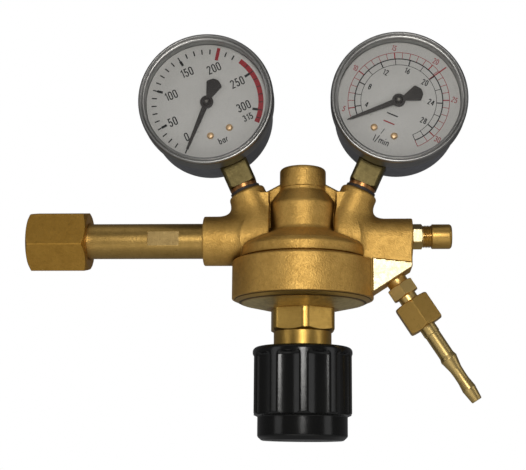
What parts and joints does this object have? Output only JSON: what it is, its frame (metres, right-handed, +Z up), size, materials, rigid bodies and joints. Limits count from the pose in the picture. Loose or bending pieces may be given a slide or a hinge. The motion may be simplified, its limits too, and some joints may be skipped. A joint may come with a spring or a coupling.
{
  "type": "gas cylinder regulator",
  "caption": "Gas cylinder pressure regulator with hexagon inlet nut, forged diaphragm body, fluted adjusting knob, contents and flow gauges, relief valve and hose tail.",
  "frame": {"origin": "centre of the inlet nut's open threaded mouth", "axes": "+X from the inlet nut towards the body, +Z up towards the gauges, the dials face -Y and the adjusting knob points to -Z"},
  "size_m": [0.2217, 0.0696, 0.1992],
  "materials": {
    "forged_brass": "satin forged, lightly blasted",
    "bright_brass": "bright turned",
    "nut_brass": "satin drawn hexagon bar",
    "tube_brass": "satin turned",
    "stem_brass": "dull, slightly green",
    "steel": "zinc plated",
    "black_plastic": "gloss black moulding",
    "rubber": "matt",
    "sintered_bronze": "sintered",
    "soft_seal": "matt",
    "fibre_seal": "matt dark fibre",
    "case_steel": "dark satin",
    "bezel_chrome": "bright, slightly brushed",
    "window_glass": "clear",
    "dial_print": "matt light grey with printed scale",
    "screw_brass": "bright domed",
    "gauge_tube": "drawn tube",
    "movement_brass": "stamped",
    "gauge_steel": "turned",
    "pointer_paint": "matt brown black"
  },
  "bodies": {
    "root": {"body": "forged_brass", "bonnet": "forged_brass", "slip_ring": "steel", "diaphragm": "rubber", "main_spring": "steel", "seat_nozzle": "bright_brass", "poppet_spring": "steel", "inlet_nipple": "tube_brass", "inlet_filter": "sintered_bronze", "inlet_ring": "soft_seal", "relief_body": "bright_brass", "relief_cap": "bright_brass", "relief_spring": "steel", "outlet_adapter": "bright_brass", "hose_tail": "bright_brass", "supply_seal": "fibre_seal", "supply_stem": "stem_brass", "supply_case": "case_steel", "supply_bezel": "bezel_chrome", "supply_window": "window_glass", "supply_dial": "dial_print", "supply_dial_screws": "screw_brass", "supply_tube": "gauge_tube", "supply_movement": "movement_brass", "flow_seal": "fibre_seal", "flow_stem": "stem_brass", "flow_case": "case_steel", "flow_bezel": "bezel_chrome", "flow_window": "window_glass", "flow_dial": "dial_print", "flow_dial_screws": "screw_brass", "flow_tube": "gauge_tube", "flow_movement": "movement_brass"},
    "inlet_nut": {"inlet_nut": "nut_brass"},
    "adjuster": {"spring_plate": "steel"},
    "knob": {"knob": "black_plastic", "knob_nut": "steel", "knob_cap": "black_plastic", "spindle": "bright_brass"},
    "diaphragm_stack": {"diaphragm_plate": "bright_brass", "spring_seat": "steel"},
    "valve_poppet": {"valve_poppet": "bright_brass"},
    "relief_poppet": {"relief_poppet": "bright_brass"},
    "outlet_nut": {"outlet_nut": "nut_brass"},
    "supply_pointer": {"supply_pointer": "pointer_paint", "supply_pinion": "gauge_steel"},
    "supply_sector": {"supply_sector": "movement_brass"},
    "supply_link": {"supply_link": "gauge_steel"},
    "flow_pointer": {"flow_pointer": "pointer_paint", "flow_pinion": "gauge_steel"},
    "flow_sector": {"flow_sector": "movement_brass"},
    "flow_link": {"flow_link": "gauge_steel"}
  },
  "joints": [
    {"name": "inlet_nut_turn", "type": "hinge", "parent": "root", "child": "inlet_nut", "pos_m": [0.015, 0, 0], "axis": [1, 0, 0], "continuous": true},
    {"name": "adjust_travel", "type": "slide", "parent": "root", "child": "adjuster", "axis": [0, 0, 1], "range_m": [0, 0.006], "deforming": ["main_spring"]},
    {"name": "knob_turn", "type": "hinge", "parent": "adjuster", "child": "knob", "pos_m": [0.136, 0, -0.07], "axis": [0, 0, 1], "range_deg": [0, 1440]},
    {"name": "diaphragm_lift", "type": "slide", "parent": "root", "child": "diaphragm_stack", "axis": [0, 0, 1], "range_m": [0, 0.0008], "stiffness_N_per_m": 1500, "deforming": ["diaphragm"]},
    {"name": "valve_lift", "type": "slide", "parent": "root", "child": "valve_poppet", "axis": [0, 0, 1], "range_m": [0, 0.0008], "deforming": ["poppet_spring"]},
    {"name": "relief_lift", "type": "slide", "parent": "root", "child": "relief_poppet", "axis": [1, 0, 0], "range_m": [0, 0.001], "stiffness_N_per_m": 100, "deforming": ["relief_spring"]},
    {"name": "outlet_nut_turn", "type": "hinge", "parent": "root", "child": "outlet_nut", "pos_m": [0.19185, 0, -0.03533], "axis": [0.5446, 0, -0.8387], "continuous": true},
    {"name": "supply_pointer_turn", "type": "hinge", "parent": "root", "child": "supply_pointer", "pos_m": [0.08847, -0.008, 0.06789], "axis": [0, 1, 0], "range_deg": [0, 270], "stiffness_Nm_per_rad": 0.00002, "springref_deg": -28.65},
    {"name": "supply_sector_turn", "type": "hinge", "parent": "root", "child": "supply_sector", "pos_m": [0.09396, -0.0055, 0.05556], "axis": [0, 1, 0], "range_deg": [-33.8, 0]},
    {"name": "supply_link_turn", "type": "hinge", "parent": "supply_sector", "child": "supply_link", "pos_m": [0.10249, -0.0067, 0.05661], "axis": [0, 1, 0], "range_deg": [0, 39.3]},
    {"name": "flow_pointer_turn", "type": "hinge", "parent": "root", "child": "flow_pointer", "pos_m": [0.18353, -0.008, 0.06789], "axis": [0, 1, 0], "range_deg": [0, 270], "stiffness_Nm_per_rad": 0.00002, "springref_deg": -28.65},
    {"name": "flow_sector_turn", "type": "hinge", "parent": "root", "child": "flow_sector", "pos_m": [0.17804, -0.0055, 0.05556], "axis": [0, 1, 0], "range_deg": [-33.8, 0]},
    {"name": "flow_link_turn", "type": "hinge", "parent": "flow_sector", "child": "flow_link", "pos_m": [0.18453, -0.0067, 0.04992], "axis": [0, 1, 0], "range_deg": [0, 39.3]}
  ],
  "couplings": [
    {"joint": "knob_turn", "follows": "adjust_travel", "rad_per_m": 4188.7},
    {"joint": "valve_lift", "follows": "diaphragm_lift", "ratio": 1},
    {"joint": "supply_sector_turn", "follows": "supply_pointer_turn", "ratio": -0.125},
    {"joint": "supply_link_turn", "follows": "supply_pointer_turn", "ratio": 0.1452},
    {"joint": "flow_sector_turn", "follows": "flow_pointer_turn", "ratio": -0.125},
    {"joint": "flow_link_turn", "follows": "flow_pointer_turn", "ratio": 0.1452}
  ]
}
